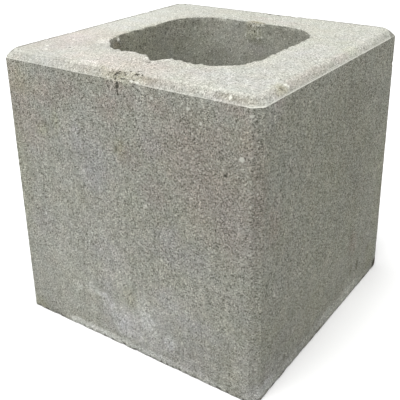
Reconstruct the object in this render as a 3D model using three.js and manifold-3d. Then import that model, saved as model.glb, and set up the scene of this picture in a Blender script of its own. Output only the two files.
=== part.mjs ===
// Hollow concrete pier block, cast in one piece: a cube with one square,
// round-cornered core running through it from top to bottom.
// Millimetres, +Z up. The origin is the middle of the underside.

import * as THREE from 'three';
import { ConvexGeometry } from 'three/addons/geometries/ConvexGeometry.js';
import { mergeVertices } from 'three/addons/utils/BufferGeometryUtils.js';
import Module from 'manifold-3d';

// The block
const blockWidth = 200; // across X
const blockDepth = 200; // across Y
const blockHeight = 200;
const uprightChamfer = 5.2; // leg of the flat down each upright corner

// Bevel that the tamper shoe presses round the top
const topBevelWidth = 5.5;
const topBevelDrop = 5.5;
const topBevelCurve = 1.6; // 1 is a flat bevel, more rounds it over into the bed
const topCornerRadius = 7; // corners of the flat bed inside the bevel

// The core, measured where its walls would meet the top face
const coreWidth = 118; // across X
const coreDepth = 118; // across Y
const coreCornerRadius = 30.5;
const coreDraft = 2; // how far each core wall comes in between top and underside
const coreRimRound = 1.3; // radius of the worn rim

// Scar of the bar that held the core in the mould. The bar crossed the front
// and the back wall, and left a shallow trough along the top of each.
const barOffset = 1; // from the middle, along X
const barWidth = 14;
const barScarDepth = 0.8;

// Piece torn out of the front rim of the core, where the bar came away
const chipWidth = 15;
const chipOffset = -1.5; // of its middle from the middle of the bar, along X
const chipReach = 9; // from the rim towards the front face
const chipDrop = 13; // down the core wall
const chipTipOffset = 3; // the tip lies this far to the right of the chip's middle

// Ridge of squeezed-out concrete on the back wall of the core, under the bar
const ridgeWidth = 14;
const ridgeProud = 1.5;
const ridgeTop = 1.5; // its upper end, below the top face
const ridgeDrop = 18; // its lower end, below the top face

const cornerSteps = 10; // segments round each corner
const bevelSteps = 6; // segments across the bevel
const rimSteps = 3; // segments over the rim of the core
const overrun = 2; // how far a cutter runs past the face it cuts

const concreteColour = 0xaeaea2;
const concreteRoughness = 0.95;

// One ring of points round a rectangle, with every corner taken off by
// cornerShape(t), which goes from (1, 0) to (0, 1) times the corner's size.
function ring(width, depth, cornerSize, cornerShape, z) {
  const points = [];
  const corners = [[1, 1], [-1, 1], [-1, -1], [1, -1]];
  corners.forEach(([signX, signY], index) => {
    for (let step = 0; step <= cornerSteps; step++) {
      const along = index % 2 === 0 ? step / cornerSteps : 1 - step / cornerSteps;
      const [cutX, cutY] = cornerShape(along);
      const x = signX * (width / 2 - cornerSize * cutX);
      const y = signY * (depth / 2 - cornerSize * cutY);
      points.push(new THREE.Vector3(x, y, z));
    }
  });
  return points;
}

const chamferCorner = (along) => [along, 1 - along];

const roundCorner = (along) => {
  const angle = (along * Math.PI) / 2;
  return [1 - Math.cos(angle), 1 - Math.sin(angle)];
};

// Closed solid through a stack of rings with equal numbers of points.
function loft(rings) {
  const count = rings[0].length;
  const positions = rings.flat().flatMap((point) => point.toArray());
  const faces = [];
  for (let level = 0; level < rings.length - 1; level++) {
    for (let side = 0; side < count; side++) {
      const next = (side + 1) % count;
      const lower = level * count;
      const upper = lower + count;
      faces.push(lower + side, lower + next, upper + next);
      faces.push(lower + side, upper + next, upper + side);
    }
  }
  const last = (rings.length - 1) * count;
  for (let side = 1; side < count - 1; side++) {
    faces.push(0, side + 1, side);
    faces.push(last, last + side, last + side + 1);
  }
  const geometry = new THREE.BufferGeometry();
  geometry.setAttribute('position', new THREE.Float32BufferAttribute(positions, 3));
  geometry.setIndex(faces);
  return geometry;
}

// One ring of the bevel. rise goes from 0 at its foot, where the corners are
// chamfered, to 1 at the flat bed, where they are round.
function bevelRing(rise) {
  const inset = topBevelWidth * rise;
  const drop = topBevelDrop * (1 - rise) ** topBevelCurve;
  const cornerSize = THREE.MathUtils.lerp(uprightChamfer, topCornerRadius, rise);
  const cornerShape = (along) => {
    const flat = chamferCorner(along);
    const round = roundCorner(along);
    return flat.map((cut, axis) => THREE.MathUtils.lerp(cut, round[axis], rise));
  };
  const width = blockWidth - 2 * inset;
  const depth = blockDepth - 2 * inset;
  return ring(width, depth, cornerSize, cornerShape, blockHeight - drop);
}

// Outside of the block: square plan, chamfered upright corners, bevelled top.
function outsideForm() {
  const rings = [ring(blockWidth, blockDepth, uprightChamfer, chamferCorner, 0)];
  for (let step = 0; step <= bevelSteps; step++) {
    rings.push(bevelRing(step / bevelSteps));
  }
  return loft(rings);
}

// One ring of the core, spread that far outside its drafted wall. The core
// draws upwards, so the wall leans out towards the top.
function coreRing(z, spread) {
  const inset = (coreDraft * (blockHeight - z)) / blockHeight - spread;
  const width = coreWidth - 2 * inset;
  const depth = coreDepth - 2 * inset;
  return ring(width, depth, coreCornerRadius - inset, roundCorner, z);
}

// The core, from below the underside to above the top, with its rim rounded over.
function coreForm() {
  const rings = [coreRing(-overrun, 0)];
  for (let step = 0; step <= rimSteps; step++) {
    const angle = (step / rimSteps) * (Math.PI / 2);
    const below = coreRimRound * (1 - Math.sin(angle));
    const spread = coreRimRound * (1 - Math.cos(angle));
    rings.push(coreRing(blockHeight - below, spread));
  }
  rings.push(coreRing(blockHeight + overrun, coreRimRound));
  return loft(rings);
}

// Shallow trough along Y over the whole block; the core takes its middle away.
function barScarForm() {
  const length = blockDepth + 2 * overrun;
  const height = barScarDepth + overrun;
  const trough = new THREE.BoxGeometry(barWidth, length, height);
  return trough.translate(barOffset, 0, blockHeight - barScarDepth + height / 2);
}

// Wedge out of the front rim: wide at the rim, to a tip towards the front face
// and a point down the core wall.
function chipForm() {
  const rim = -coreDepth / 2;
  const inside = rim + coreDraft + overrun;
  const above = blockHeight + overrun;
  const middle = barOffset + chipOffset;
  const left = middle - chipWidth / 2;
  const right = middle + chipWidth / 2;
  const tip = middle + chipTipOffset;
  return new ConvexGeometry([
    new THREE.Vector3(left, inside, above),
    new THREE.Vector3(left, rim, above),
    new THREE.Vector3(right, inside, above),
    new THREE.Vector3(right, rim, above),
    new THREE.Vector3(tip, rim - chipReach, above),
    new THREE.Vector3(tip, rim - chipReach, blockHeight - barScarDepth),
    new THREE.Vector3(tip, inside, blockHeight - chipDrop),
  ]);
}

// Low ridge down the back wall of the core, rooted in the wall behind it.
function ridgeForm() {
  const rim = coreDepth / 2;
  const root = rim + overrun;
  const top = blockHeight - ridgeTop;
  const foot = blockHeight - ridgeDrop;
  const middle = blockHeight - (ridgeTop + ridgeDrop) / 2;
  const half = ridgeWidth / 2;
  const crest = rim - ridgeProud;
  return new ConvexGeometry([
    new THREE.Vector3(barOffset - half, root, top),
    new THREE.Vector3(barOffset + half, root, top),
    new THREE.Vector3(barOffset - half / 3, crest, top - ridgeTop),
    new THREE.Vector3(barOffset + half / 2, crest, top - ridgeTop),
    new THREE.Vector3(barOffset - half, root, middle),
    new THREE.Vector3(barOffset + half, root, middle),
    new THREE.Vector3(barOffset, crest, middle),
    new THREE.Vector3(barOffset, root, foot),
  ]);
}

const wasm = await Module();
wasm.setup();

function toSolid(geometry) {
  const bare = geometry.clone();
  bare.deleteAttribute('normal');
  bare.deleteAttribute('uv');
  const merged = mergeVertices(bare);
  return new wasm.Manifold(new wasm.Mesh({
    numProp: 3,
    vertProperties: new Float32Array(merged.attributes.position.array),
    triVerts: new Uint32Array(merged.index.array),
  }));
}

function toGeometry(solid) {
  const mesh = solid.getMesh();
  const geometry = new THREE.BufferGeometry();
  geometry.setAttribute('position', new THREE.BufferAttribute(mesh.vertProperties, 3));
  geometry.setIndex(new THREE.BufferAttribute(mesh.triVerts, 1));
  geometry.computeVertexNormals();
  return geometry;
}

const blockSolid = toSolid(outsideForm())
  .subtract(toSolid(coreForm()))
  .subtract(toSolid(barScarForm()))
  .subtract(toSolid(chipForm()))
  .add(toSolid(ridgeForm()));

const concrete = new THREE.MeshStandardMaterial({
  color: concreteColour,
  roughness: concreteRoughness,
  metalness: 0,
  flatShading: true,
});

const block = new THREE.Mesh(toGeometry(blockSolid), concrete);
block.name = 'pier_block';

const model = new THREE.Group();
model.add(block);

export default model;
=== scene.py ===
import math

import bpy
import numpy as np
from mathutils import Matrix, Vector, kdtree, noise


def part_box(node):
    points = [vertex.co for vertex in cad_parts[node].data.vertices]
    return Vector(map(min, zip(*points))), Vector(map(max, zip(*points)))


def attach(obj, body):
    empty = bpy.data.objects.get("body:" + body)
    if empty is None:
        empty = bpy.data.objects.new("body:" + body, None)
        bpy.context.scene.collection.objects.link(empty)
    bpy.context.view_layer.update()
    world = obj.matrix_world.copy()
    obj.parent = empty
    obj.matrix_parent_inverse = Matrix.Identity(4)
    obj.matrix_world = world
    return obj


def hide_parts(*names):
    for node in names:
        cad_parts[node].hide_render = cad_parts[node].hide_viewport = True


# The block is worked out in millimetres and turned to metres when its mesh is made.
# It stands on z = 0, and its core runs along z.

mm = 0.001

print("loading the frame")
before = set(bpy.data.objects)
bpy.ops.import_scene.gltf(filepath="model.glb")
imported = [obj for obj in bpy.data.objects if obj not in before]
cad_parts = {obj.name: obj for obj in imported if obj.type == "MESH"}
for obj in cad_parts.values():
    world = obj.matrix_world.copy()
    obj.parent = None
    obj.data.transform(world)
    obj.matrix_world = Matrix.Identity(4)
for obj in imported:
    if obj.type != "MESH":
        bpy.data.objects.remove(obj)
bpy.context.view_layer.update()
lowCorner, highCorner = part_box("pier_block")
plan = (highCorner.x - lowCorner.x) / mm
height = (highCorner.z - lowCorner.z) / mm


# Camera

cameraSetup = {
    "eye": (0.26582, -0.38792, 0.31064),
    "angles": (34.2745, 22.0237, -0.5752),  # azimuth, elevation and roll, in degrees
    "lens": 61.62,
    "shift": (-0.03, -0.1425),
    "clip": (0.01, 50),
}


def putInScene(name, data):
    thing = bpy.data.objects.new(name, data)
    bpy.context.scene.collection.objects.link(thing)
    return thing


def placeCamera():
    data = bpy.data.cameras.new("camera")
    data.lens = cameraSetup["lens"]
    data.shift_x, data.shift_y = cameraSetup["shift"]
    data.clip_start, data.clip_end = cameraSetup["clip"]
    camera = putInScene("camera", data)
    azimuth, elevation, roll = map(math.radians, cameraSetup["angles"])
    back = Vector((math.sin(azimuth) * math.cos(elevation),
                   -math.cos(azimuth) * math.cos(elevation),
                   math.sin(elevation)))
    level = Vector((math.cos(azimuth), math.sin(azimuth), 0))
    upward = back.cross(level)
    right = math.cos(roll) * level + math.sin(roll) * upward
    top = math.cos(roll) * upward - math.sin(roll) * level
    turned = Matrix((right, top, back)).transposed()
    camera.matrix_world = Matrix.Translation(cameraSetup["eye"]) @ turned.to_4x4()
    bpy.context.scene.camera = camera


print("placing the camera")
placeCamera()


# The block's skin: one closed net of quads. Its columns go once round the plan, and
# its rows go up the outside, over the bed, down the core and back below.

blockForm = {
    "chamfer": 5.2,  # leg of the flat down each upright corner
    "bevelWidth": 5.5,
    "bevelDrop": 5.5,
    "bevelCurve": 1.6,  # 1 is a flat bevel, more rounds it over into the bed
    "bedCorner": 7,
    "coreWidth": 118,  # at the top
    "coreCorner": 30.5,
    "coreDraft": 2,
    "footRound": 0.8,  # worn arris round the underside
    "rimRound": 1.3,  # worn rim of the core
}

# How closely the net is laid. It crowds where there is most to see, over each reach.
netLayout = {
    "fineSteps": 4001,  # to work crowding out with
    "sideColumns": (116, 96, 92, 84),
    "sideCrowding": (1.3, 0, 0.5, 0),
    "scarReach": 16,
    "cornerColumns": 6,
    "undersideRows": 9,
    "footAngles": (25, 50, 75),
    "faceRows": 97,
    "faceCrowding": 0.8,
    "footReach": 8,
    "topReach": 14,
    "bevelGap": 0.7,  # between the face's rows and the bevel
    "lastFaceStep": 0.5,
    "bevelRises": (0, 0.1, 0.22, 0.36, 0.5, 0.64, 0.78, 0.9),
    "bedRows": 34,
    "bedCrowding": 0.8,
    "bedReach": 0.15,  # as a share of the bed's width
    "rimAngles": (0, 30, 60),
    "wallRows": 70,
    "wallCrowding": 2.2,
    "wallReach": 24,
    "wallEnd": 0.3,  # the wall's last row, as a share of footRound
    "crispAngle": 50,  # degrees: sharper edges are shaded as lines
}

barScar = {
    "middle": 1,  # along X
    "width": 14,
    "frontDepth": 0.5,
    "backDepth": 0.25,
    "soft": 3,  # how far its sides fade out
    "wander": (0, (2.0, 5, 4)),  # of its sides, in layers: see layered
    "outwards": (55, 4),  # where it starts, and over how much it grows to its full depth
    "upwards": (193, 3),
    "roughOutwards": (20, 20),
    "crumblyOutwards": (50, 8),
}

alongSide = np.array([(1, 0), (0, 1), (-1, 0), (0, -1)])
outOfSide = np.array([(0, -1), (1, 0), (0, 1), (-1, 0)])


def crowded(count, start, end, places, crowding):
    # count places from start towards end, closer together near the given places
    fine = np.linspace(start, end, netLayout["fineSteps"])
    density = np.ones_like(fine)
    for middle, reach in places:
        density += crowding * np.exp(-((fine - middle) / reach) ** 2)
    walked = np.cumsum(density) - density[0]
    walked /= walked[-1]
    return np.interp(np.arange(count) / count, walked, fine)


def layColumns():
    flat = plan / 2 - blockForm["chamfer"]
    corner = netLayout["cornerColumns"]
    side, along, turn = [], [], []
    for index, count in enumerate(netLayout["sideColumns"]):
        middle = barScar["middle"] if index == 0 else -barScar["middle"]
        busy = [(middle, netLayout["scarReach"])]
        places = crowded(count, -flat, flat, busy, netLayout["sideCrowding"][index]) / flat
        side += [index] * (count + corner)
        along += list(places) + [1] * corner
        turn += [0] * count + list(np.arange(corner) / corner)
    return np.array(side), np.array(along), np.array(turn)


side, along, turn = layColumns()


def ringPoints(a, b, z):
    # a runs along each side and b out of it
    flat = a[:, None] * alongSide[side] + b[:, None] * outOfSide[side]
    return np.column_stack((flat, np.full(len(a), z, float)))


def outerRing(inset, corner, roundness, z):
    flat = plan / 2 - inset - corner
    quarter = turn * math.pi / 2
    cutAlong = (1 - roundness) * turn + roundness * np.sin(quarter)
    cutOut = (1 - roundness) * (1 - turn) + roundness * np.cos(quarter)
    return ringPoints(along * flat + corner * cutAlong, flat + corner * cutOut, z)


def coreRing(spread, z):
    # spread is how far the ring lies outside the core wall at that height
    inset = blockForm["coreDraft"] * (height - z) / height - spread
    radius = blockForm["coreCorner"] - inset
    flat = blockForm["coreWidth"] / 2 - inset - radius
    outerFlat = plan / 2 - blockForm["chamfer"]
    cornerPath = blockForm["chamfer"] * math.sqrt(2)
    share = (along * outerFlat + turn * cornerPath) / (outerFlat + cornerPath / 2)
    walk = share * (flat + radius * math.pi / 4)
    bend = np.clip((np.abs(walk) - flat) / radius, 0, None)
    a = np.sign(walk) * (np.minimum(np.abs(walk), flat) + radius * np.sin(bend))
    return ringPoints(a, flat + radius * np.cos(bend), z)


def bevelRing(rise):
    below = blockForm["bevelDrop"] * (1 - rise) ** blockForm["bevelCurve"]
    corner = blockForm["chamfer"] + (blockForm["bedCorner"] - blockForm["chamfer"]) * rise
    return outerRing(blockForm["bevelWidth"] * rise, corner, rise, height - below)


def layRows():
    chamfer = blockForm["chamfer"]
    foot = blockForm["footRound"]
    rim = blockForm["rimRound"]
    layout = netLayout
    rows = []

    def lay(kind, rings):
        rows.extend((kind, ring) for ring in rings)

    def between(start, end, shares):
        return [start + (end - start) * share for share in shares]

    underside = coreRing(foot, 0), outerRing(foot, chamfer, 0, 0)
    lay("underside", between(*underside, np.linspace(0, 1, layout["undersideRows"])))
    lay("foot", [outerRing(foot * (1 - math.sin(angle)), chamfer, 0, foot * (1 - math.cos(angle)))
                 for angle in np.radians(layout["footAngles"])])

    topOfFace = height - blockForm["bevelDrop"] - layout["bevelGap"]
    ends = [(0, layout["footReach"]), (height, layout["topReach"])]
    levels = crowded(layout["faceRows"], foot, topOfFace, ends, layout["faceCrowding"])
    levels = [*levels, topOfFace, topOfFace + layout["lastFaceStep"]]
    lay("face", [outerRing(0, chamfer, 0, z) for z in levels])
    lay("bevel", [bevelRing(rise) for rise in layout["bevelRises"]])

    nearRim = [(1, layout["bedReach"])]
    shares = crowded(layout["bedRows"], 0, 1, nearRim, layout["bedCrowding"])
    lay("bed", between(bevelRing(1), coreRing(rim, height), shares))
    lay("rim", [coreRing(rim * (1 - math.sin(angle)), height - rim * (1 - math.cos(angle)))
                for angle in np.radians(layout["rimAngles"])])
    nearTop = [(height, layout["wallReach"])]
    levels = crowded(layout["wallRows"], height - rim, foot, nearTop, layout["wallCrowding"])
    lay("wall", [coreRing(0, z) for z in levels])
    end = foot * layout["wallEnd"]
    lay("wall", [coreRing(end, end)])
    return rows


def gridNormals(grid):
    # rows run upwards on the outside and columns run round it to the left of them
    across = np.roll(grid, -1, axis=1) - np.roll(grid, 1, axis=1)
    upward = np.roll(grid, -1, axis=0) - np.roll(grid, 1, axis=0)
    normal = np.cross(across, upward)
    return normal / np.linalg.norm(normal, axis=2, keepdims=True)


# Wear, relief and the marks that the mould left

relief = {
    "underside": 0.25,  # depth of the fine unevenness, millimetres
    "foot": 0.2,
    "face": 0.16,
    "bevel": 0.16,
    "bed": 0.22,
    "rim": 0.7,
    "wall": 0.3,
}

unevenness = {
    "fine": (0.5, (0.5, 3.4, 1)),  # in layers, about 0 to 1
    "broad": (0.5, (0.5, 9, 2)),
    "broadShare": 0.6,  # of the fine depth
    "swell": (0.5, (0.5, 38, 3)),
    "swellDepth": 0.12,
    "rimProud": 0.3,  # the rim starts that far out and wears back from there
    "blend": (0.25, 0.5, 0.25),  # of each row's depth with those beside it
}

rimChip = {
    # how far the rim is torn back towards the front face, along X
    "outline": ((-9, 0), (-6.7, 1.5), (1.6, 9.1), (3.7, 7.7), (4.8, 4.6), (6.3, 2.0),
                (8.5, 0.8), (12, 0)),
    "dropShare": 1.4,  # how deep it goes down the core wall for that
    "fullReach": 9,
    "pressedShare": 2.2,  # how far down the wall is pressed together, for the full drop
    "wander": (0, (0.7, 2.5, 10)),
}

# where the rim leans into the core, or away from it: X, Y, reach and amount
rimLeans = [
    (-50, -50, 9, 2.6), (-60, -36, 7, 1.1), (-59, -16, 13, -0.9), (-18, -59, 22, 1.4),
    (10, -59, 10, 1.8), (-26, 59, 22, -2.8), (26, 59, 26, -1.4),
]

rimWander = {
    "leanFade": (6, 40),  # how far over the bed and down the wall a lean fades out
    "ragged": (0, (0.55, 4, 12)),  # how the rim wanders in and out
    "raggedFlat": 0.3,  # below 1 its lumps are taller than wide
    "raggedFade": (3, 8),
}

# pebbles that stand out of the surface: place, radius and how far
pebbles = [(-59, -28.6, 195.8, 2.1, 1.2)]

# where the concrete broke away round the scar, on the front face
brokenFront = {
    "along": (-4, 16, 4),  # from, to, and how far it fades out
    "outwards": (88, 6),
    "upwards": (188, 5),
}

# crumbs where the skin is broken, and how far the scar and front bring them out
grit = (0.5, (1.0, 2.6, 5), (0.9, 1.7, 6))
gritShares = {"scar": 0.35, "broken": 0.6}

squeezedRidge = {
    "proud": 1.1,
    "halfWidth": 7,
    "below": (3.5, 13, 4),  # the bed: from, to, and how far it fades out
    "outwards": (50, 3),
    "knobs": (0.6, (0.7, 5, 9), (0.4, 2.6, 11)),
    "boxy": 4,  # the higher, the flatter it is along its width
}

crack = {
    "x": 2.1,
    "upwards": (186, 197, 3),
    "width": 0.5,
    "depth": 0.4,
    "wander": (0, (0.6, 4, 8)),
    "outwards": (93, 4),
}

# place, radius and depth
singlePits = [
    (1.2, -96.8, 198.7, 1.5, 0.6), (14.7, -96.2, 199.2, 1.4, 0.5), (2.3, -100, 190.7, 1.5, 0.6),
    (4.7, -74.1, 200, 1.4, 0.6), (11.7, -76.7, 200, 1.5, 0.6), (-4, 93, 200, 1.8, 1.3),
    (4.4, 93.4, 200, 1.8, 1.3), (97, -72, 198, 1.8, 0.5), (94, 8, 200, 1.8, 0.8),
    (94.5, 14, 200, 1.5, 0.8),
]

pitting = {
    "seed": 20,
    # how many, the least and greatest radius, and the least and greatest depth
    "scar": (90, (0.9, 1.4), (0.3, 0.9)),
    "all": (900, (1.3, 2.4), (0.2, 0.6)),
    "foot": (46, (1.6, 3.2), (0.25, 0.8)),
    "rim": (110, (1.6, 3.2), (0.3, 1.1)),
    "looseFrom": 0.6,  # the scar's pits lie where it is at least that strong
}

# how strongly each of these paints shade into the hollows, and makes the skin look crumbly
hollowShadeShares = {"holes": 0.3, "grit": 0.35, "gritFrom": 0.6}
crumblyShares = {"scar": 0.35, "broken": 0.8, "ridge": 0.9, "leftWall": 0.7}
crumblyWall = {"outwards": (50, 4), "upwards": (172, 14)}


seedStep = np.array((7.31, 3.77, 5.19))  # to another part of the noise


def lumps(points, cell, seed):
    # smooth noise, about -1 to 1, with lumps of about that many millimetres
    shifted = points / cell + seed * seedStep
    return np.array([noise.noise(p) for p in shifted.tolist()])


def layered(points, start, *layers):
    # lumps on top of a start, in layers: amount, size and seed of each
    total = start
    for amount, cell, seed in layers:
        total = total + amount * lumps(points, cell, seed)
    return total


def easeIn(value):
    held = np.clip(value, 0, 1)
    return held * held * (3 - 2 * held)


def growing(value, start, over):
    # 0 up to the start, then growing to 1
    return easeIn((value - start) / over)


def band(value, low, high, soft):
    # 1 between low and high, fading over soft on both sides
    return easeIn((value - low) / soft + 1) * easeIn((high - value) / soft + 1)


def dent(depth, tree, middle, radius, deep):
    for _, index, distance in tree.find_range(middle, radius):
        share = 1 - (distance / radius) ** 2
        depth[index] = max(depth[index], deep * share)


def scatterDents(depth, tree, points, candidates, count, radii, depths, draw):
    for index in draw.choice(candidates, count, replace=False):
        radius = draw.uniform(*radii)
        dent(depth, tree, points[index], radius, draw.uniform(*depths))


def leaningRim(rowCount, points, kinds):
    # how far each point goes sideways with the rim; the bed's edge follows it
    x, y, z = points.T
    rimRing = coreRing(blockForm["rimRound"], height)
    intoCore = coreRing(0, height) - rimRing
    intoCore /= np.linalg.norm(intoCore, axis=1, keepdims=True)
    intoCore = np.tile(intoCore, (rowCount, 1))
    offset = points - np.tile(rimRing, (rowCount, 1))
    toRim = np.hypot(offset[:, 0], offset[:, 1])
    where = [kinds == "bed", kinds == "rim", kinds == "wall"]

    def fading(overBed, downWall):
        fades = [easeIn(1 - toRim / overBed), 1, easeIn((z - height) / downWall + 1)]
        return np.select(where, fades, 0)

    lean = np.zeros(len(points))
    fade = fading(*rimWander["leanFade"])
    for leanX, leanY, reach, amount in rimLeans:
        near = np.exp(-(np.hypot(x - leanX, y - leanY) / reach) ** 2)
        lean += amount * near * fade
    tall = points * (1, 1, rimWander["raggedFlat"])
    lean += layered(tall, *rimWander["ragged"]) * fading(*rimWander["raggedFade"])
    return intoCore * lean[:, None]


untangling = {
    "rounds": 24,
    "leastTilt": 0.1,  # cosine of how far a quad may lean from where it faced
}


def turnedOver(net, facing):
    # the quads with a corner that leans too far, or faces the wrong way
    across = np.roll(net, -1, axis=1) - net
    upward = np.roll(net, -1, axis=0) - net
    turned = np.zeros(net.shape[:2], bool)
    for edge in (across, np.roll(across, -1, axis=0)):
        for rise in (upward, np.roll(upward, -1, axis=1)):
            normal = np.cross(edge, rise)
            tilt = (normal * facing).sum(axis=2) / np.linalg.norm(normal, axis=2)
            turned |= tilt < untangling["leastTilt"]
    return turned


def untangle(net, restingNet):
    # where dents meet on an edge, the net's points go back between their neighbours
    upper = np.roll(restingNet, -1, axis=0)
    facing = np.cross(np.roll(upper, -1, axis=1) - restingNet,
                      upper - np.roll(restingNet, -1, axis=1))
    facing /= np.linalg.norm(facing, axis=2, keepdims=True)
    for _ in range(untangling["rounds"]):
        turned = turnedOver(net, facing)
        if not turned.any():
            break
        loose = turned | np.roll(turned, 1, axis=1)
        loose |= np.roll(loose, 1, axis=0)
        middle = sum(np.roll(net, step, axis) for step in (1, -1) for axis in (0, 1)) / 4
        net = np.where(loose[:, :, None], middle, net)
    print("quads left turned over:", int(turnedOver(net, facing).sum()))
    return net


def shapeSkin():
    rows = layRows()
    kinds = np.repeat([kind for kind, _ in rows], len(side))
    grid = np.array([ring for _, ring in rows])
    normals = gridNormals(grid).reshape(-1, 3)
    points = grid.reshape(-1, 3)
    x, y, z = points.T
    draw = np.random.default_rng(pitting["seed"])
    onRim = kinds == "rim"
    onWall = kinds == "wall"

    # unevenness everywhere
    wear = unevenness
    amount = np.array([relief[kind] for kind, _ in rows])
    amount = np.convolve(np.pad(amount, 1, mode="wrap"), wear["blend"], "valid")
    amount = np.repeat(amount, len(side))
    depth = amount * layered(points, *wear["fine"])
    depth += amount * wear["broadShare"] * layered(points, *wear["broad"])
    depth += wear["swellDepth"] * layered(points, *wear["swell"])
    depth -= wear["rimProud"] * onRim

    # where the bar crossed the front and back wall
    middle, half = barScar["middle"], barScar["width"] / 2
    wander = layered(points, *barScar["wander"])
    ends = growing(np.abs(y), *barScar["outwards"]) * growing(z, *barScar["upwards"])
    scar = band(x - middle + wander, -half, half, barScar["soft"]) * ends
    broken = band(x + wander, *brokenFront["along"]) * growing(-y, *brokenFront["outwards"])
    broken *= growing(z, *brokenFront["upwards"])
    rough = gritShares["scar"] * scar * growing(-y, *barScar["roughOutwards"])
    rough = np.clip(rough + gritShares["broken"] * broken, 0, 1)
    crumbs = layered(points, *grit)
    depth += scar * np.where(y < 0, barScar["frontDepth"], barScar["backDepth"])
    depth += rough * np.clip(crumbs, 0, 2)

    wander = layered(points, *crack["wander"])
    split = np.exp(-((x - crack["x"] - wander) / crack["width"]) ** 2)
    split *= band(z, *crack["upwards"]) * growing(-y, *crack["outwards"])

    # pits and chipped arrises
    tree = kdtree.KDTree(len(points))
    for index, point in enumerate(points.tolist()):
        tree.insert(point, index)
    tree.balance()
    holes = np.zeros(len(points))
    for *place, radius, deep in singlePits:
        dent(holes, tree, place, radius, deep)
    places = {
        "scar": (scar + broken > pitting["looseFrom"]) & (y < 0),
        "all": ~onRim,
        "foot": kinds == "foot",
        "rim": onRim,
    }
    for name, here in places.items():
        scatterDents(holes, tree, points, np.flatnonzero(here), *pitting[name], draw)
    holes = np.maximum(holes, split * crack["depth"])
    depth += holes
    for *place, radius, proud in pebbles:
        for _, index, distance in tree.find_range(place, radius):
            depth[index] = -proud * (1 - (distance / radius) ** 2)

    # lumps of squeezed-out concrete under the back rim
    ridge = squeezedRidge
    below = height - z
    blob = np.exp(-((x - middle) / ridge["halfWidth"]) ** ridge["boxy"])
    blob *= band(below, *ridge["below"]) * growing(y, *ridge["outwards"]) * onWall
    depth -= blob * ridge["proud"] * layered(points, *ridge["knobs"])

    moved = points - normals * depth[:, None]
    moved += leaningRim(len(rows), points, kinds)

    # the torn rim: the bed slopes down into it, and the wall below is pressed together
    torn = x + layered(points, *rimChip["wander"])
    reach = np.interp(torn, *zip(*rimChip["outline"])) * (y < 0)
    rimLine = blockForm["coreWidth"] / 2
    inside = np.clip((rimLine + reach + y) / np.maximum(reach, 0.01), 0, 1)
    drop = rimChip["dropShare"] * reach
    pressed = rimChip["pressedShare"] * rimChip["dropShare"] * rimChip["fullReach"]
    fade = easeIn(1 - below / pressed)
    sunk = np.select([kinds == "bed", onRim, onWall], [drop * inside, drop, drop * fade], 0)
    moved[:, 2] -= sunk

    moved[:, :2] = np.clip(moved[:, :2], -plan / 2, plan / 2)
    moved[:, 2] = np.clip(moved[:, 2], 0, height)
    moved = untangle(moved.reshape(grid.shape), grid).reshape(-1, 3)

    # painted shade: darker in the pits, the crack and the deepest hollows between the crumbs
    share = hollowShadeShares
    hollowShade = holes * share["holes"]
    hollowShade += share["grit"] * rough * np.clip(crumbs - share["gritFrom"], 0, 1)
    share = crumblyShares
    leftWall = growing(-x, *crumblyWall["outwards"]) * growing(z, *crumblyWall["upwards"]) * onWall
    crumbly = share["scar"] * scar * growing(np.abs(y), *barScar["crumblyOutwards"])
    crumbly += share["broken"] * broken
    crumbly += share["ridge"] * blob
    crumbly += share["leftWall"] * leftWall
    masks = {"hollowShade": np.clip(hollowShade, 0, 1), "scar": np.clip(crumbly, 0, 1)}
    return points, moved, kinds, masks


# Broad stains, with some painted light and shade among them: the tint each kind multiplies the
# colour by, and where they lie

stainTints = {
    "rosy": (1.0, 0.93, 0.94),
    "lilac": (1.0, 0.992, 1.065),
    "olive": (0.99, 0.985, 0.87),
    "pale": (1.22, 1.22, 1.26),
    "deep": (0.82, 0.82, 0.82),
    "earthAndShade": (0.47, 0.45, 0.37),
}

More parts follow.
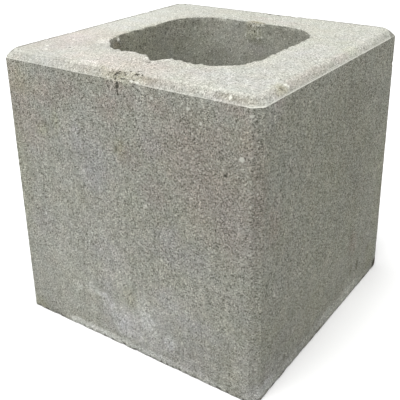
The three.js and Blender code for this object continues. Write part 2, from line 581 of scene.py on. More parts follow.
frontStains = {
    # on the front face: X, Z, size along both, and strength
    "rosy": [
        (27, 128, 14, 13, 0.9), (8, 147, 12, 11, 0.9), (0, 190, 14, 8, 1), (11, 184, 9, 8, 0.9),
        (34, 184, 12, 9, 0.9), (66, 106, 8, 8, 0.7), (84, 191, 14, 6, 0.9), (-41, 182, 14, 10, 1),
        (-62, 176, 20, 14, 1), (-76, 143, 14, 12, 0.8), (-72, 156, 10, 12, 0.7),
        (-88, 168, 16, 40, 0.9),
    ],
    "lilac": [
        (-22, 134, 26, 30, 1), (-35, 147, 8, 18, 1), (-76, 78, 18, 20, 0.5), (-16, 72, 20, 18, 1),
        (-18, 38, 9, 28, 1), (-8, 20, 30, 14, 0.9), (31, 54, 14, 15, 1), (58, 24, 18, 12, 0.9),
        (25, 160, 13, 15, 0.9), (37, 99, 12, 12, 1), (48, 88, 24, 14, 1), (42, 12, 40, 17, 1),
        (62, 40, 28, 11, 1), (28, 36, 16, 18, 0.8),
    ],
    "olive": [
        (-54, 157, 5, 12, 0.7), (-72, 178, 12, 10, 0.5), (-88, 180, 16, 18, 0.8),
        (-92, 120, 12, 80, 0.35), (-88, 4, 10, 8, 0.7), (86, 176, 14, 12, 0.35),
        (2, 42, 9, 10, 0.6),
    ],
    "pale": [
        # The broad patches at (-46, 50) and (4, 26) make the lower part of the face lighter: partly
        # pale dust, partly painted light from the floor's bounce.
        (-60, 92, 84, 116, 0.5), (-46, 50, 74, 66, 0.7), (-12, 56, 30, 18, 1),
        (-40, 42, 16, 14, 0.9), (20, 44, 16, 16, 0.9), (-72, 86, 16, 18, 0.8), (4, 26, 40, 38, 1),
        (36, 48, 30, 24, 0.8), (-88, 186, 14, 20, 0.9), (-42, 158, 26, 18, 0.8),
        (-18, 161, 10, 9, 0.6), (-77, 106, 9, 16, 0.85), (-30, 82, 8, 10, 0.9), (-34, 74, 8, 12, 1),
        (-10, 75, 9, 10, 0.9), (-26, 153, 7, 10, 0.75), (15, 69, 9, 11, 0.4), (23, 151, 8, 8, 0.3),
        (90, 194, 6, 4, 0.4), (-70, 170, 24, 24, 0.5), (19, 178, 9, 18, 0.5), (84, 134, 7, 10, 0.3),
    ],
    "deep": [
        (76, 132, 28, 62, 0.45), (65, 170, 26, 15, 0.55), (46, 130, 18, 14, 0.4),
        (94, 84, 10, 100, 0.4), (7, 47, 6, 12, 0.7), (-80, 4, 20, 9, 0.9), (1, 32, 6, 6, 0.35),
        (66, 139, 9, 10, 0.8), (78, 165, 9, 14, 0.85), (-2, 153, 9, 12, 0.35),
    ],
}

otherStains = {
    # place and size, each along X, Y and Z, and strength
    "rosy": [
        (54, -100, 161, 44, 9, 31, 1), (72, -100, 138, 36, 9, 34, 1),
        (86, -100, 119, 25, 9, 27, 1), (92, -99, 172, 10, 9, 22, 1), (-6, -100, 176, 14, 9, 14, 1),
        (98, -96, 139, 7, 8, 48, 1), (100, -83, 120, 10, 12, 19, 1),
        (100, -78, 193, 6, 10, 5, 0.9), (100, 42, 45, 12, 10, 13, 0.9),
        (-76, -52, 200, 40, 46, 10, 0.9), (-6, -82, 200, 60, 30, 10, 0.9),
        (16, 70, 200, 34, 8, 6, 0.6), (-1, 77, 200, 9, 5, 6, 1), (97, -50, 199, 5, 50, 6, 0.7),
        (97, 2, 199, 5, 18, 6, 0.7), (30, -97, 198, 30, 5, 6, 0.7), (80, -98, 197, 20, 5, 5, 0.5),
        (97, -80, 197, 5, 8, 5, 0.6), (0, 62, 199, 10, 4, 6, 0.8), (-59, -33, 193, 6, 9, 8, 1),
        (-54, -44, 192, 10, 14, 12, 0.8),
    ],
    "lilac": [
        (96, -99, 10, 14, 8, 13, 0.9), (96, -99, 32, 12, 8, 30, 0.6),
        (60, -78, 200, 50, 20, 6, 0.5), (80, -10, 200, 16, 70, 6, 0.4),
        (100, -72, 10, 8, 34, 16, 0.8), (100, -60, 30, 8, 26, 12, 0.6),
        (70, -98, 197, 16, 5, 5, 0.6), (6, 59, 179, 18, 6, 7, 0.6), (100, -30, 8, 8, 40, 9, 0.7),
    ],
    "olive": [
        (1, -100, 151, 7, 6, 9, 0.9), (-66, -100, 150, 8, 6, 7, 0.7),
        (100, 0, 110, 8, 140, 150, 0.45), (100, 88, 80, 6, 16, 80, 0.6),
        (100, 80, 20, 8, 16, 20, 0.7), (96.5, -73, 198, 6, 9, 7, 1), (96, 22, 198, 6, 14, 6, 0.7),
        (4, -97, 197, 26, 6, 7, 0.9), (-4, -82, 200, 30, 16, 6, 0.25),
        (74, -97, 197, 18, 5, 5, 0.3), (-1, 62, 200, 8, 5, 5, 0.9), (0, 59, 191, 10, 5, 10, 0.8),
        (-58, -10, 184, 8, 60, 24, 0.8), (-59, -32, 193, 6, 9, 8, 1),
    ],
    "pale": [
        (-52, -97.5, 198, 44, 4, 5, 0.4), (35, -100, 98, 8, 6, 7, 0.4),
        (100, 40, 12, 6, 22, 10, 0.6), (100, -83, 191, 6, 13, 10, 1),
        (-80, 0, 200, 34, 90, 12, 0.6), (-20, -84, 200, 60, 22, 10, 0.4),
        (97, 40, 198, 5, 60, 6, 0.4), (-59, 0, 180, 8, 66, 30, 1), (-59, -32, 193, 6, 10, 9, 1),
        (0, 59, 191, 9, 5, 10, 0.5),
    ],
    "deep": [
        (100, -79, 56, 5, 10, 14, 0.5), (100, -18, 122, 6, 14, 14, 0.5),
        (100, -62, 32, 6, 34, 26, 0.4), (100, 30, 120, 6, 60, 70, 0.7),
        (100, 12, 162, 6, 60, 30, 0.75), (100, 0, 80, 6, 130, 110, 0.15),
        (97, -97, 120, 5, 5, 90, 0.9), (97, -97, 40, 5, 5, 50, 0.5), (-1, 62.5, 200, 6, 3, 4, 1),
        (-72, -96, 199, 26, 4, 4, 0.7), (-18, -97.3, 198, 20, 4, 4, 0.75),
        (42, -97.5, 197.5, 14, 4, 4, 0.35), (23, -96.3, 199, 12, 4, 4, 0.8),
        (3, -97, 197.5, 9, 4, 4, 0.7), (-54, -95.5, 199.3, 22, 4, 4, 0.75),
        (-30, 59, 166, 30, 8, 16, 1), (97, -72, 197, 4, 6, 4, 0.45), (8, 59, 178, 20, 6, 8, 0.35),
        (30, 59, 193, 22, 6, 8, 0.45),
    ],
    "earthAndShade": [
        (3, 61, 200, 7, 3, 3, 1), (-34, 59, 173, 24, 6, 9, 0.16), (-2, 61.5, 198, 7, 3, 4, 0.2),
        (97, -97, 98, 5, 5, 12, 0.16), (-54, -95.5, 199.3, 20, 3.5, 3, 0.1),
        (100, 54, 22, 4, 3, 7, 0.7), (100, 42, 23, 4, 3, 8, 0.65), (100, 39, 54, 4, 3, 4.5, 0.6),
        # Painted shadow: (100, 94, 2) darkens the foot of the back right corner. Painted shade: the
        # entries at Z 0 darken the foot of the right face where it meets the floor.
        (100, 73, 28, 4, 3.4, 6, 0.45), (100, 94, 2, 5, 7, 5.5, 1), (100, 72, 0, 5, 12, 3.4, 0.8),
        (100, -9, 0, 5, 8, 3.2, 1), (100, -33, 0, 5, 5, 2.8, 0.9), (100, -66, 0, 5, 5, 2.8, 0.9),
        (100, -85, 0, 5, 6, 3, 1), (-5, 59.5, 198, 5, 2.5, 5, 0.5),
        (1, -98, 196.5, 9, 3, 3.5, 0.45), (24, -97.5, 198, 10, 3, 2.5, 0.4),
        (82, -97.6, 197, 18, 3, 3, 0.48), (93, -97, 196.8, 8, 4.5, 3.2, 0.44),
        (96.4, -73.5, 198.2, 3, 3.5, 3, 0.48),
    ],
}

# Whitish smears and dry patches, listed as the stains

frontChalk = [
    (-49, 2, 9, 4.4, 1), (-36, 2, 12, 4, 0.85), (-20, 2.5, 12, 3.4, 0.9), (0, 2.5, 18, 3.2, 0.6),
    (28, 3, 20, 3.4, 0.5), (58, 3, 18, 3.2, 0.4), (11.5, 42, 5, 8, 0.28), (15.5, 29, 6, 8, 0.45),
    (18, 22, 6, 6, 0.25), (-4, 27, 14, 8, 0.25), (-6, 15, 6, 5, 0.3), (5, 13, 6, 5, 0.3),
    (-21, 30, 4, 6, 0.3), (-34, 37, 4, 5, 0.3), (-28, 36.4, 1.6, 1.6, 0.9),
    (-24, 36.2, 1.6, 1.6, 0.9), (-20.4, 36.8, 1.6, 1.6, 0.8), (-44.4, 34.3, 1.8, 2.2, 0.7),
    (-49, 33, 3, 5, 0.3), (-16.5, 29, 2, 2, 0.6), (34, 20, 4, 6, 0.3),
]

otherChalk = [
    (97, -97, 4, 5, 5, 5, 0.3), (100, -87, 5.5, 5, 11, 5.5, 0.75), (100, -66, 4, 6, 16, 4.4, 0.4),
    (100, -30, 4, 6, 26, 4.2, 0.25), (100, 2, 6, 6, 14, 6, 0.6), (100, 36, 4, 6, 26, 6, 0.6),
    (100, 66, 2.5, 6, 14, 3.4, 0.35), (-26, -91, 199, 7, 2.6, 4, 0.35),
    (-58, -70, 199, 8, 5, 4, 0.2), (-54, -44, 191, 10, 12, 11, 0.45),
    (-59, -31, 193, 5, 6, 6, 0.14),
]

# Small marks with a sharp edge: place, half size (both X, Y, Z) and, for some, the turn
# about Z in degrees. They reach down into the bed, or into a wall.
darkMarks = [
    (-0.7, -95.9, 197.7, 1, 0.9, 0.6), (0.8, -95.2, 198.6, 1.1, 0.9, 0.55),
    (-1.4, -96.6, 197, 0.6, 0.7, 0.9), (5.8, -96.1, 197.4, 0.9, 0.8, 0.6),
    (4.7, -95.2, 198.7, 0.6, 0.6, 0.8), (6.3, -92.2, 199, 1.2, 0.6, 0.8),
    (14.5, -95.4, 198.9, 1.7, 0.8, 0.5, 20), (13.5, -90.8, 199.4, 2.4, 0.6, 0.8, 40),
    (18.6, -95.7, 199.1, 0.8, 0.6, 0.8), (5.3, -98, 195.6, 2, 0.6, 0.5, 12),
    (-0.6, -97.8, 194.5, 0.8, 1, 0.8), (14.3, -98.6, 196, 0.6, 0.8, 0.5),
    (1.7, -99.2, 192.9, 0.8, 3, 1), (1.7, -99.3, 190.4, 1.3, 3, 1.4), (1.8, -99.6, 188, 0.7, 3, 1),
    (1.9, -99.7, 186.1, 0.5, 3, 0.9), (2.4, -71.3, 199, 1.8, 0.8, 0.8, 25),
    (9.8, -76.8, 199.4, 1.4, 0.6, 0.8, 60), (11.2, -74.3, 199.7, 1.4, 0.5, 0.8, 60),
    (-62.5, -72.7, 200, 1.1, 0.8, 1, 30), (-4, 93.5, 200, 1.8, 1.8, 2),
    (4.2, 94, 200, 2.1, 1.5, 2), (1.2, 58.6, 192.5, 0.6, 3, 1.5), (-2.6, 58.8, 196.4, 0.5, 3, 1),
    (78.3, -100, 151.8, 1.1, 3, 1.1), (97.2, -72.6, 197.6, 0.4, 0.8, 0.6),
    # Painted shadow: the first mark here darkens the foot of the back right corner. Painted shade:
    # the next two darken the left bevel at the front left corner, where it faces away from the
    # light.
    (100, 96, 3.5, 5, 7.5, 4.5), (-95.6, -92.8, 198.3, 0.8, 1.7, 1),
    (-94.8, -89.3, 199.4, 0.7, 1.1, 0.7),
]

lightMarks = [
    (9.1, -62.8, 200, 2.6, 1.2, 2, 20), (-4.6, -62.9, 200, 1.6, 1.4, 2, 20),
    (-79.4, -76.7, 200, 1.4, 1, 1), (-73.2, -83.7, 200, 1.6, 1, 1), (-76.6, -54.8, 200, 1.2, 1, 1),
    (96.1, -66.6, 198.7, 1, 1.7, 0.7), (97.4, -65.6, 197.7, 0.8, 1.2, 1),
    (80.1, -97.7, 197, 0.9, 0.9, 2), (12.7, -98.9, 195.4, 1.6, 1, 0.6),
    (16.9, -99.1, 195.3, 1.6, 1, 0.6), (27.8, -100, 188.1, 0.9, 3, 1.2),
    (-17.9, -100, 181.8, 1.4, 3, 0.5), (-12.3, -100, 183.4, 0.5, 3, 1.8),
    (94.6, -99, 189.9, 1, 3, 1), (88.7, -100, 164.1, 1.7, 3, 1.5),
    (62.1, -100, 179.5, 0.9, 3, 1.2), (53.6, -100, 186.5, 1.2, 3, 1),
    (19.7, -100, 117, 1.2, 3, 1.2), (100, -79, 70, 3, 1, 1.3), (100, -45, 67, 3, 0.9, 1),
    (-7.2, 58.6, 188.9, 0.8, 3, 1.7), (-5, 58.6, 184.4, 0.8, 3, 1.2), (4, 58.6, 187.4, 0.9, 3, 1),
    (7.7, 58.6, 188.6, 0.7, 3, 0.9), (4.1, 58.6, 192.1, 0.4, 3, 2.4),
    (-0.6, 58.6, 197.1, 1.3, 3, 0.8), (-58.4, -28.6, 196.2, 3, 1.7, 1.5),
]

# where the front rows lie along Y, and how deep they go
frontY = -100
stainDepth = 8
chalkDepth = 6

# how stains and chalk end: in shares of their size, but for frayLump
stainEdge = {
    "reach": 1.6,
    "fadeFrom": 1.15,
    "wander": 0.3,
    "lumpShare": 0.45,
    "fray": 0.12,
    "frayLump": 5,
    "chalkEnd": 1.3,
    "chalkFade": 0.5,
    "firstSeed": 30,
}


def onFront(rows, depth):
    return [(x, frontY, z, wide, depth, tall, strength) for x, z, wide, tall, strength in rows]


def awayFrom(points, place, size):
    return np.linalg.norm((points - place) / size, axis=1)


def paintStains(points, kind, seed):
    cover = np.zeros(len(points))
    rows = onFront(frontStains.get(kind, []), stainDepth) + otherStains[kind]
    for *place, wide, deep, tall, strength in rows:
        size = wide, deep, tall
        away = awayFrom(points, place, size)
        near = away < stainEdge["reach"]
        lump = sorted(size)[1] * stainEdge["lumpShare"]
        edge = away[near] + stainEdge["wander"] * lumps(points[near], lump, seed)
        edge += stainEdge["fray"] * lumps(points[near], stainEdge["frayLump"], seed)
        painted = strength * easeIn(stainEdge["fadeFrom"] - edge)
        cover[near] = np.maximum(cover[near], painted)
    return cover


def paintChalk(points):
    cover = np.zeros(len(points))
    for *place, wide, deep, tall, strength in onFront(frontChalk, chalkDepth) + otherChalk:
        away = awayFrom(points, place, (wide, deep, tall))
        fade = easeIn((stainEdge["chalkEnd"] - away) / stainEdge["chalkFade"])
        cover = np.maximum(cover, strength * fade)
    return cover


# Lighter arrises along the foot of the bevel and round the bed: partly paler paste, partly a
# painted highlight where the edges catch the light
paleArrisAndHighlight = {
    "patches": (0.7, (0.9, 14, 21)),
    "scarGap": (-13, 15, 4),
    "goneInGap": 0.9,
    "rightSide": (86, 6),  # where the right face's starts, and over how much it grows
    "footRise": 0.15,
    "footWidth": (0.35, 0.15),  # and how much more on the right, as the next two
    "footStrength": (1, 0.5),
    "bedStrength": (0.5, -0.35),
    "bedDrop": 0.3,
    "bedWidth": 0.35,
}

# How much calmer the grain is than high on the front face
calmness = {
    "wall": 0.44,
    "bed": 0.32,
    "bedLeft": 0.18,
    "leftFrom": (15, 50),
    "rightFace": 0.09,
    "foot": 0.22,
    "footFrom": (-80, 50),  # downwards
    "chalkShare": 0.6,
}

# Painted shade along the far edges of the bed, where the far bevels are in shade, and a darker far
# corner
bedFarShade = {
    "edge": (93.2, 96.5, 1.2),
    "edgeDepth": 2,
    "corner": (185, 2.5),  # X plus Y
    "cornerDepth": 6,
    "cornerStrength": 0.9,
    "patches": (0.8, (0.8, 9, 22)),
    "least": 0.35,
}


def paintPaleArrisAndHighlight(points, kinds, rightSide):
    x, y, z = points.T
    look = paleArrisAndHighlight
    patches = np.clip(layered(points, *look["patches"]), 0, 1)
    patches *= 1 - look["goneInGap"] * band(x, *look["scarGap"]) * (y < 0)
    patches = np.maximum(patches, rightSide)
    width, footStrength, bedStrength = (
        start + more * rightSide
        for start, more in (look["footWidth"], look["footStrength"], look["bedStrength"]))
    footLine = height - blockForm["bevelDrop"]
    onFoot = np.exp(-((z - footLine - look["footRise"]) / width) ** 2) * footStrength
    onBed = np.exp(-((z - height + look["bedDrop"]) / look["bedWidth"]) ** 2) * bedStrength
    return np.maximum(onFoot, onBed) * patches * (kinds == "bevel")


def paintCalm(points, kinds, rightSide, bedSide):
    x, _, z = points.T
    onFace = kinds == "face"
    left = growing(-x, *calmness["leftFrom"])
    calm = calmness["wall"] * (kinds == "wall")
    calm += bedSide * (calmness["bed"] + calmness["bedLeft"] * left)
    calm += calmness["rightFace"] * rightSide * onFace
    return calm + calmness["foot"] * growing(-z, *calmness["footFrom"]) * onFace


def paintBedFarShade(points):
    x, y, z = points.T
    edge = band(np.maximum(y, -x), *bedFarShade["edge"]) * (z > height - bedFarShade["edgeDepth"])
    corner = growing(x + y, *bedFarShade["corner"]) * (z > height - bedFarShade["cornerDepth"])
    farEdgeShade = np.maximum(edge, bedFarShade["cornerStrength"] * corner)
    return farEdgeShade * np.clip(layered(points, *bedFarShade["patches"]), bedFarShade["least"], 1)


def keepLinesCrisp(mesh, kinds):
    # the foot of the bevel and both edges of each upright chamfer
    columns = len(side)
    ends = np.empty(len(mesh.edges) * 2, np.int32)
    mesh.edges.foreach_get("vertices", ends)
    row, column = np.divmod(ends.reshape(-1, 2), columns)
    footRow = np.flatnonzero(kinds == "bevel")[0] // columns
    atChamfer = (along == 1) & (turn == 0) | (along == -1)
    onFoot = (row == footRow).all(axis=1)
    upright = (column[:, 0] == column[:, 1]) & atChamfer[column[:, 0]]
    upright &= (kinds[row * columns] == "face").any(axis=1)
    sharp = mesh.attributes["sharp_edge"]
    values = np.zeros(len(mesh.edges), bool)
    sharp.data.foreach_get("value", values)
    sharp.data.foreach_set("value", values | onFoot | upright)


def makeSkin():
    points, moved, kinds, masks = shapeSkin()
    lower = np.arange(len(points)).reshape(-1, len(side))
    upper = np.roll(lower, -1, axis=0)
    quads = (lower, np.roll(lower, -1, axis=1), np.roll(upper, -1, axis=1), upper)
    faces = np.stack(quads, axis=2).reshape(-1, 4)
    mesh = bpy.data.meshes.new("concrete_skin")
    mesh.from_pydata((moved * mm).tolist(), [], faces.tolist())
    mesh.shade_smooth()
    mesh.set_sharp_from_angle(angle=math.radians(netLayout["crispAngle"]))
    keepLinesCrisp(mesh, kinds)

    rightSide = growing(points[:, 0], *paleArrisAndHighlight["rightSide"])
    bedSide = np.isin(kinds, ("bed", "bevel", "rim")).astype(float)
    chalk = paintChalk(points)
    calm = paintCalm(points, kinds, rightSide, bedSide)
    masks["arris"] = paintPaleArrisAndHighlight(points, kinds, rightSide)
    masks["bedSide"] = bedSide
    masks["calm"] = np.maximum(calm, calmness["chalkShare"] * chalk)
    masks["farEdgeShade"] = paintBedFarShade(points)
    masks["chalk"] = chalk
    for seed, kind in enumerate(stainTints, stainEdge["firstSeed"]):
        masks[kind] = paintStains(points, kind, seed)
    for name, values in masks.items():
        layer = mesh.attributes.new(name, "FLOAT", "POINT")
        layer.data.foreach_set("value", values.astype(np.float32))
    return putInScene("concrete_skin", mesh)


print("shaping the block's skin")
skin = makeSkin()


# Pressed concrete. Sizes are in millimetres, and a tone is how far the colour swings
# either way. A noise is its size, its detail and, where that isn't 0.5, its roughness.

concreteLook = {
    "base": (0.428, 0.428, 0.368),
    "bed": (0.473, 0.473, 0.421),
    "light": (0.8, 0.8, 0.72),
    "chalk": (1.78, 1.8, 1.92),  # the colour is multiplied by this
    "dark": (0.085, 0.08, 0.062),
    "roughness": 0.93,
    "specular": 0.2,
    "noiseSpan": (0.3, 0.7),  # where nearly all of a noise lies
}

# how the hue drifts over some distance: noise and tone of red, then of blue
hueDrifts = [
    (((16, 3), 0.014), ((27, 3), 0.026)),
    (((6, 2), 0.013), ((7.5, 2), 0.014)),
]

sandGrain = {
    "size": 0.52,
    "stretch": (1, 0.72, 0.9),
    "tone": 0.69,
    "evenShare": 0.4,  # of the tone, and the tails are the lightest and darkest
    "tailShare": 0.9,
    "blueTone": 0.05,  # blue swings that much wider
    "lightFrom": (0.965, 0.975),  # each draws up to 1, and few get that far
    "lightInScar": 0.06,
    "lightStrength": 0.72,
}

mottling = {
    # noise and tone
    "fine": ((1.2, 3, 0.7), 0.09),
    "patches": ((15, 3), 0.05),
    "clouds": ((5, 2), 0.045),
    "drag": ((1.8, 2), 0.08),  # upright streaks, from the mould
    "dragFlat": 0.14,
    "wipes": ((6, 2), 0.09),  # wider ones, mostly low on the faces
    "wipesFlat": 0.22,
    "wipesFade": (40, 110),
    "wipesAbove": 0.3,
}

coarseGrain = {
    "size": 1.3,
    "edge": (0.5, 0.35),
    "strength": (0.75, 0.35),  # on the faces and on the bed
    "light": (0.955, 0.965),
    "dark": (0.05, 0.04),
}

pores = {
    "noise": (1.3, 1, 0.6),
    "edge": (0.3, 0.25),
    "strength": (0.75, 0.5),
    "inScar": 0.11,
}

# thin dashes of painted shade along the foot of the block, where it meets the floor
footShadeDashes = {
    "noise": (5, 1),
    "flat": 0.1,
    "edge": (0.54, 0.58),
    "top": 2.4,
    "fullBelow": 1.4,
    "strength": 0.9,
}

# how strong the marks are, and how ragged and soft their edges
markLook = {
    "light": 0.88,
    "dark": 0.95,
    "arris": 0.7,
    "farEdgeShade": 0.7,
    "hollowShade": 0.8,
    "ragged": 1.4,
    "soft": 0.2,
    "chalkCloud": (3, 4, 0.65),
    "chalkSpan": (0.35, 0.6),
    "chalkLeast": 0.5,
}

fineRelief = {
    "grain": 0.5,
    "fine": 1.2,
    "pore": 0.8,
    "grainEdge": 0.7,
    "strength": 0.8,
    "depth": 0.25,
}


class NodeBench:
    # adds nodes to one material or world, laid out in rows, and links them
    nodeGap = (-200, -260)
    perRow = 12

    def __init__(self, owner):
        owner.use_nodes = True
        self.tree = owner.node_tree
        self.tree.nodes.clear()

    def add(self, kind, inputs=None, **settings):
        row, column = divmod(len(self.tree.nodes), self.perRow)
        node = self.tree.nodes.new("ShaderNode" + kind)
        node.location = (self.nodeGap[0] * column, self.nodeGap[1] * row)
        for name, value in settings.items():
            setattr(node, name, value)
        for name, value in (inputs or {}).items():
            socket = node.inputs[name]
            if isinstance(value, bpy.types.NodeSocket):
                self.tree.links.new(value, socket)
            else:
                socket.default_value = value
        return node

    def math(self, operation, first, second, clamp=False):
        node = self.add("Math", {0: first, 1: second}, operation=operation)
        node.use_clamp = clamp
        return node.outputs[0]

    def ramp(self, value, low, high, toLow=0, toHigh=1):
        inputs = {"Value": value, "From Min": low, "From Max": high,
                  "To Min": toLow, "To Max": toHigh}
        return self.add("MapRange", inputs).outputs["Result"]

    def mix(self, factor, first, second, blend="MIX"):
        # first and second are colours, or sockets that give one
        inputs = {0: factor}
        for number, value in ((6, first), (7, second)):
            inputs[number] = value if isinstance(value, bpy.types.NodeSocket) else (*value, 1)
        node = self.add("Mix", inputs, data_type="RGBA", blend_type=blend)
        return node.outputs[2]

    def noise(self, where, cell, detail, rough=0.5):
        inputs = {"Vector": where, "Scale": 1 / (cell * mm), "Detail": detail,
                  "Roughness": rough}
        return self.add("TexNoise", inputs).outputs["Fac"]

    def swing(self, value, amount):
        # 1, give or take the amount, as a noise goes from low to high
        return self.ramp(value, *concreteLook["noiseSpan"], 1 - amount, 1 + amount)

    def stretched(self, where, scale):
        inputs = {"Vector": where, "Scale": scale}
        return self.add("Mapping", inputs).outputs["Vector"]

    def voronoi(self, where, cell):
        inputs = {"Vector": where, "Scale": 1 / (cell * mm)}
        return self.add("TexVoronoi", inputs, feature="F1").outputs

    def vector(self, operation, inputs):
        return self.add("VectorMath", inputs, operation=operation).outputs

    def times(self, first, second):
        return self.math("MULTIPLY", first, second)

    def attribute(self, name):
        return self.add("Attribute", attribute_name=name).outputs["Fac"]

    def marks(self, where, places, soft):
        # 1 inside any of the marks, 0 a little way outside them
        nearest = 9  # further away than matters
        for x, y, z, wide, deep, tall, *turned in places:
            inputs = {"Vector": where,
                      "Location": (x * mm, y * mm, z * mm),
                      "Rotation": (0, 0, math.radians(*turned) if turned else 0),
                      "Scale": (wide * mm, deep * mm, tall * mm)}
            local = self.add("Mapping", inputs, vector_type="TEXTURE")
            away = self.vector("LENGTH", {0: local.outputs["Vector"]})["Value"]
            nearest = self.math("MINIMUM", nearest, away)
        return self.ramp(nearest, 1 + soft, 1 - soft)


def driftingHue(bench, where, colour):
    for red, blue in hueDrifts:
        channels = {"Green": 1}
        for channel, (noiseLook, tone) in (("Red", red), ("Blue", blue)):
            channels[channel] = bench.swing(bench.noise(where, *noiseLook), tone)
        drift = bench.add("CombineColor", channels)
        colour = bench.mix(1, colour, drift.outputs["Color"], "MULTIPLY")
    return colour


def grainyTone(bench, where, tall, grainRed, fine):
    # how much lighter or darker than its colour the concrete is at each point
    even = bench.ramp(grainRed, 0, 1, -1, 1)
    tails = bench.times(bench.math("POWER", even, 3), sandGrain["tailShare"])
    grain = bench.math("ADD", bench.times(even, sandGrain["evenShare"]), tails)
    tone = bench.math("ADD", bench.times(grain, sandGrain["tone"]), 1)

    tone = bench.times(tone, bench.swing(fine, mottling["fine"][1]))
    dragged = bench.stretched(where, (1, 1, mottling["dragFlat"]))
    for kind, place in (("patches", where), ("clouds", where), ("drag", dragged)):
        noiseLook, amount = mottling[kind]
        tone = bench.times(tone, bench.swing(bench.noise(place, *noiseLook), amount))

    noiseLook, amount = mottling["wipes"]
    wipes = bench.noise(bench.stretched(where, (1, 1, mottling["wipesFlat"])), *noiseLook)
    wipes = bench.ramp(wipes, *concreteLook["noiseSpan"], -amount, amount)
    start, end = mottling["wipesFade"]
    low = bench.ramp(tall, start * mm, end * mm, 1, mottling["wipesAbove"])
    return bench.times(tone, bench.math("ADD", bench.times(wipes, low), 1))


def paintedFootShade(bench, where, tall):
    # dashes that noise places, on all four sides
    dashes = bench.noise(bench.stretched(where, (1, 1, footShadeDashes["flat"])), *footShadeDashes["noise"])
    dashes = bench.ramp(dashes, *footShadeDashes["edge"])
    low = bench.ramp(tall, footShadeDashes["top"] * mm, footShadeDashes["fullBelow"] * mm,
                     0, footShadeDashes["strength"])
    return bench.times(dashes, low)


def raggedPlaces(bench, where):
    # pushes each point a little aside, so that the marks have ragged edges
    size = markLook["ragged"] * mm
    jitter = bench.add("TexNoise", {"Vector": where, "Scale": 1 / size})
    push = bench.vector("SUBTRACT", {0: jitter.outputs["Color"], 1: (0.5, 0.5, 0.5)})
    push = bench.vector("SCALE", {0: push["Vector"], "Scale": size})
    return bench.vector("ADD", {0: where, 1: push["Vector"]})["Vector"]


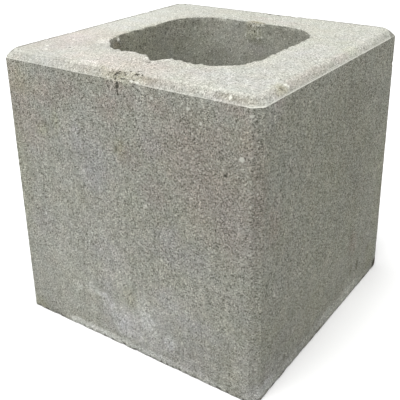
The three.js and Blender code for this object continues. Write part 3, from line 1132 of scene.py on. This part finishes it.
def pressedConcrete():
    look = concreteLook
    material = bpy.data.materials.new("pressed_concrete")
    bench = NodeBench(material)
    where = bench.add("TexCoord").outputs["Object"]
    tall = bench.add("SeparateXYZ", {"Vector": where}).outputs["Z"]
    onBed = bench.attribute("bedSide")

    # the hue drifts a little, and the stains lie over that
    colour = bench.mix(onBed, look["base"], look["bed"])
    colour = driftingHue(bench, where, colour)
    for kind, tint in stainTints.items():
        colour = bench.mix(bench.attribute(kind), colour, tint, "MULTIPLY")

    # sand grains, each with its own tone
    grain = bench.voronoi(bench.stretched(where, sandGrain["stretch"]), sandGrain["size"])
    chance = bench.add("SeparateColor", {"Color": grain["Color"]}).outputs
    fine = bench.noise(where, *mottling["fine"][0])
    tone = grainyTone(bench, where, tall, chance["Red"], fine)
    wider = sandGrain["blueTone"]
    tones = {"Red": tone, "Green": tone, "Blue": bench.ramp(tone, 0, 2, -wider, 2 + wider)}
    grey = bench.add("CombineColor", tones)
    toned = bench.mix(1, colour, grey.outputs["Color"], "MULTIPLY")
    colour = bench.mix(bench.attribute("calm"), toned, colour)

    # a few light grains, more of them where the skin is broken
    scar = bench.attribute("scar")
    pick = bench.math("ADD", chance["Green"], bench.times(scar, sandGrain["lightInScar"]))
    light = bench.times(bench.ramp(pick, *sandGrain["lightFrom"]), sandGrain["lightStrength"])

    # coarser grains, light and dark, and pores
    speck = bench.voronoi(where, coarseGrain["size"])
    chance = bench.add("SeparateColor", {"Color": speck["Color"]}).outputs["Red"]
    share = bench.times(bench.ramp(speck["Distance"], *coarseGrain["edge"]),
                        bench.ramp(onBed, 0, 1, *coarseGrain["strength"]))
    pore = bench.noise(where, *pores["noise"])
    pore = bench.math("SUBTRACT", pore, bench.times(scar, pores["inScar"]))
    pore = bench.times(bench.ramp(pore, *pores["edge"]),
                       bench.ramp(onBed, 0, 1, *pores["strength"]))

    # coats of colour, one over the other, with the single marks last
    coats = [
        (light, "light"),
        (bench.times(bench.ramp(chance, *coarseGrain["light"]), share), "light"),
        (bench.times(bench.ramp(chance, *coarseGrain["dark"]), share), "dark"),
        (pore, "dark"),
        # painted highlight along the arrises, over partly paler paste
        (bench.times(bench.attribute("arris"), markLook["arris"]), "light"),
        # painted shade along the bed's far edges, and a darker far corner
        (bench.times(bench.attribute("farEdgeShade"), markLook["farEdgeShade"]), "dark"),
        # painted shade in the hollows
        (bench.math("MULTIPLY", bench.attribute("hollowShade"), markLook["hollowShade"], True), "dark"),
        # painted shade in dashes along the foot
        (paintedFootShade(bench, where, tall), "dark"),
    ]
    for cover, kind in coats:
        colour = bench.mix(cover, colour, look[kind])
    cloud = bench.noise(where, *markLook["chalkCloud"])
    cloud = bench.ramp(cloud, *markLook["chalkSpan"], markLook["chalkLeast"], 1)
    chalk = bench.times(bench.attribute("chalk"), cloud)
    colour = bench.mix(chalk, colour, look["chalk"], "MULTIPLY")
    ragged = raggedPlaces(bench, where)
    for kind, marks in (("light", lightMarks), ("dark", darkMarks)):
        cover = bench.times(bench.marks(ragged, marks, markLook["soft"]), markLook[kind])
        colour = bench.mix(cover, colour, look[kind])

    # relief too fine for the mesh
    bead = bench.ramp(grain["Distance"], 0, fineRelief["grainEdge"], 1, 0)
    rise = bench.math("ADD", bench.times(bead, fineRelief["grain"]),
                      bench.times(fine, fineRelief["fine"]))
    rise = bench.math("SUBTRACT", rise, bench.times(pore, fineRelief["pore"]))
    bumpInputs = {"Height": rise, "Strength": fineRelief["strength"],
                  "Distance": fineRelief["depth"] * mm}
    bump = bench.add("Bump", bumpInputs)

    shaderInputs = {"Base Color": colour, "Roughness": look["roughness"],
                    "Specular IOR Level": look["specular"], "Normal": bump.outputs["Normal"]}
    shader = bench.add("BsdfPrincipled", shaderInputs)
    bench.add("OutputMaterial", {"Surface": shader.outputs["BSDF"]})
    return material


print("mixing the concrete")
skin.data.materials.append(pressedConcrete())
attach(skin, "root")
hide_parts("pier_block")


# Floor and light

studio = {
    "floorSize": 8,
    "floorSeen": (1, 1, 1),  # the floor's colour to the camera
    "floorGiven": (0.3, 0.3, 0.3),  # and for the light it gives the block
    "world": 0.36,
    "keyFrom": (-0.03, -0.31, 1.15),
    "keyStrength": 3.5,
    "keySpread": 50,  # degrees
}


def whiteForCamera(bench):
    path = bench.add("LightPath")
    seen = bench.math("MAXIMUM", path.outputs["Is Camera Ray"], path.outputs["Is Glossy Ray"])
    return bench.math("MAXIMUM", seen, path.outputs["Is Transmission Ray"])


def layFloor():
    half = studio["floorSize"] / 2
    corners = [(-half, -half, 0), (half, -half, 0), (half, half, 0), (-half, half, 0)]
    mesh = bpy.data.meshes.new("floor")
    mesh.from_pydata(corners, [], [(0, 1, 2, 3)])
    material = bpy.data.materials.new("pale_floor")
    bench = NodeBench(material)
    colour = bench.mix(whiteForCamera(bench), studio["floorGiven"], studio["floorSeen"])
    shader = bench.add("BsdfDiffuse", {"Color": colour})
    bench.add("OutputMaterial", {"Surface": shader.outputs["BSDF"]})
    mesh.materials.append(material)
    putInScene("floor", mesh)


def hangLights():
    world = bpy.data.worlds.new("studio")
    bpy.context.scene.world = world
    bench = NodeBench(world)
    strength = bench.ramp(whiteForCamera(bench), 0, 1, studio["world"], 1)
    back = bench.add("Background", {"Color": (1, 1, 1, 1), "Strength": strength})
    bench.add("OutputWorld", {"Surface": back.outputs["Background"]})

    key = bpy.data.lights.new("key", "SUN")
    key.energy = studio["keyStrength"]
    key.angle = math.radians(studio["keySpread"])
    lamp = putInScene("key", key)
    lamp.rotation_euler = Vector(studio["keyFrom"]).to_track_quat("Z", "Y").to_euler()


print("laying the floor and hanging the lights")
layFloor()
hangLights()
bpy.context.scene.view_settings.view_transform = "Standard"


print("finishing")
